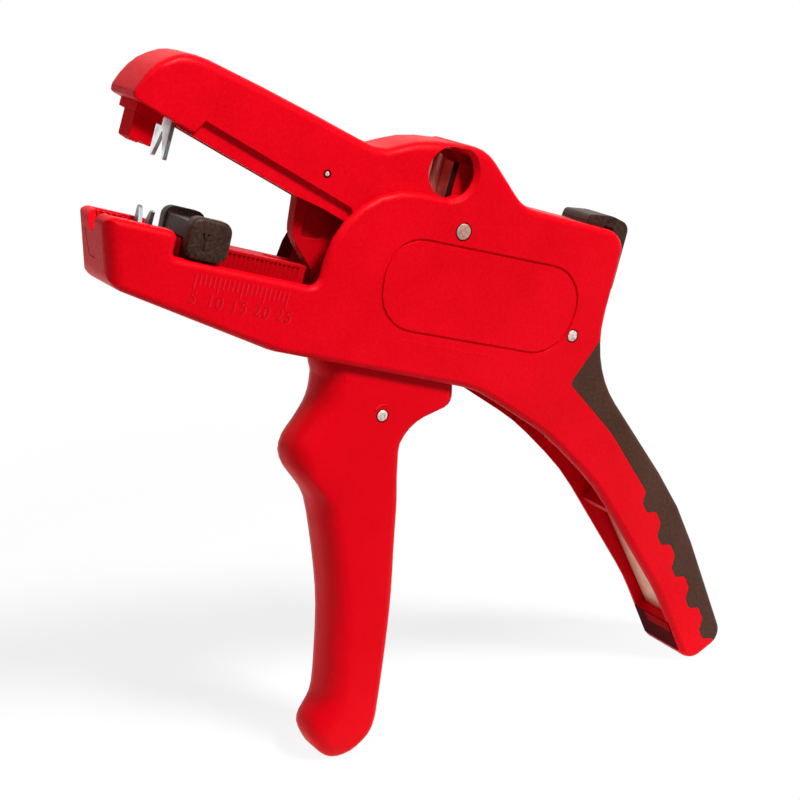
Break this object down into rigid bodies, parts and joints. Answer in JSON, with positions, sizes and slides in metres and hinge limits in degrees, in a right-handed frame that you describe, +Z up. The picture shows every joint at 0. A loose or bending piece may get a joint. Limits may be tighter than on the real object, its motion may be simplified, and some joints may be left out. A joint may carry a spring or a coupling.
{
  "type": "automatic wire stripper",
  "caption": "Hand tool that grips an insulated wire between two jaws and pulls the insulation off as the trigger is squeezed, with a wire cutter and a sliding length stop.",
  "frame": {"origin": "on the floor below the middle of the tool's overall box, with the tool standing on the ends of its lever and its handle", "axes": "+Z up, +X from the jaws back toward the handle, +Y through the thickness, away from the side with the scale"},
  "size_m": [0.1426, 0.0154, 0.1508],
  "materials": {
    "red_shell": "bright red moulded plastic with a fine grain",
    "red_inner": "red moulded plastic, less polished",
    "soft_grip": "dark brown soft layer",
    "brown_plastic": "dark brown moulded plastic",
    "carrier_plastic": "dark grey glass-filled plastic",
    "pin_steel": "turned bright steel",
    "spring_steel": "bright spring steel",
    "blade_steel": "ground hardened steel"
  },
  "bodies": {
    "body": {"body_frame": "red_shell", "handle_grip": "soft_grip", "main_pin": "pin_steel", "body_rivet": "pin_steel", "lower_clamp_insert": "red_inner", "stop_rail": "red_inner", "handle_leaf_spring": "spring_steel", "return_spring": "spring_steel"},
    "trigger": {"trigger_lever": "red_shell", "lever_rivet": "pin_steel", "draw_pin": "pin_steel", "trigger_cutter_blade": "blade_steel"},
    "strut": {"jaw_strut": "red_inner"},
    "jaw": {"upper_jaw": "red_shell", "jaw_pin": "pin_steel", "upper_clamp_insert": "red_inner", "jaw_cutter_blade": "blade_steel"},
    "upper_carrier": {"upper_blade_carrier": "carrier_plastic", "upper_stripping_blade": "blade_steel"},
    "lower_carrier": {"lower_blade_carrier": "carrier_plastic", "lower_stripping_blade": "blade_steel"},
    "stop": {"length_stop": "brown_plastic", "stop_detent_spring": "spring_steel"},
    "adjuster": {"depth_adjuster": "brown_plastic", "adjuster_catch": "carrier_plastic"}
  },
  "joints": [
    {"name": "trigger_turn", "type": "hinge", "parent": "body", "child": "trigger", "pos_m": [0.00421, 0, 0.10991], "axis": [0, -1, 0], "range_deg": [0, 26], "stiffness_Nm_per_rad": 0.3, "springref_deg": -28.65, "deforming": ["return_spring"]},
    {"name": "jaw_turn", "type": "hinge", "parent": "body", "child": "jaw", "pos_m": [0.00421, 0, 0.10991], "axis": [0, -1, 0], "range_deg": [0, 10.41]},
    {"name": "strut_turn", "type": "hinge", "parent": "trigger", "child": "strut", "pos_m": [-0.01494, 0, 0.07429], "axis": [0, -1, 0], "range_deg": [-6.41, 0]},
    {"name": "upper_blade_slide", "type": "slide", "parent": "jaw", "child": "upper_carrier", "axis": [0.8569, 0, -0.5156], "range_m": [0, 0.00273]},
    {"name": "lower_blade_slide", "type": "slide", "parent": "body", "child": "lower_carrier", "axis": [0.9413, 0, -0.3375], "range_m": [0, 0.00463]},
    {"name": "stop_slide", "type": "slide", "parent": "body", "child": "stop", "axis": [0.9413, 0, -0.3375], "range_m": [0, 0.02]},
    {"name": "adjuster_slide", "type": "slide", "parent": "body", "child": "adjuster", "axis": [0.9413, 0, -0.3375], "range_m": [0, 0.003]}
  ],
  "couplings": [
    {"joint": "jaw_turn", "follows": "trigger_turn", "ratio": 0.4},
    {"joint": "strut_turn", "follows": "trigger_turn", "ratio": -0.2459},
    {"joint": "upper_blade_slide", "follows": "trigger_turn", "m_per_rad": 0.00599},
    {"joint": "lower_blade_slide", "follows": "trigger_turn", "m_per_rad": 0.01017}
  ]
}
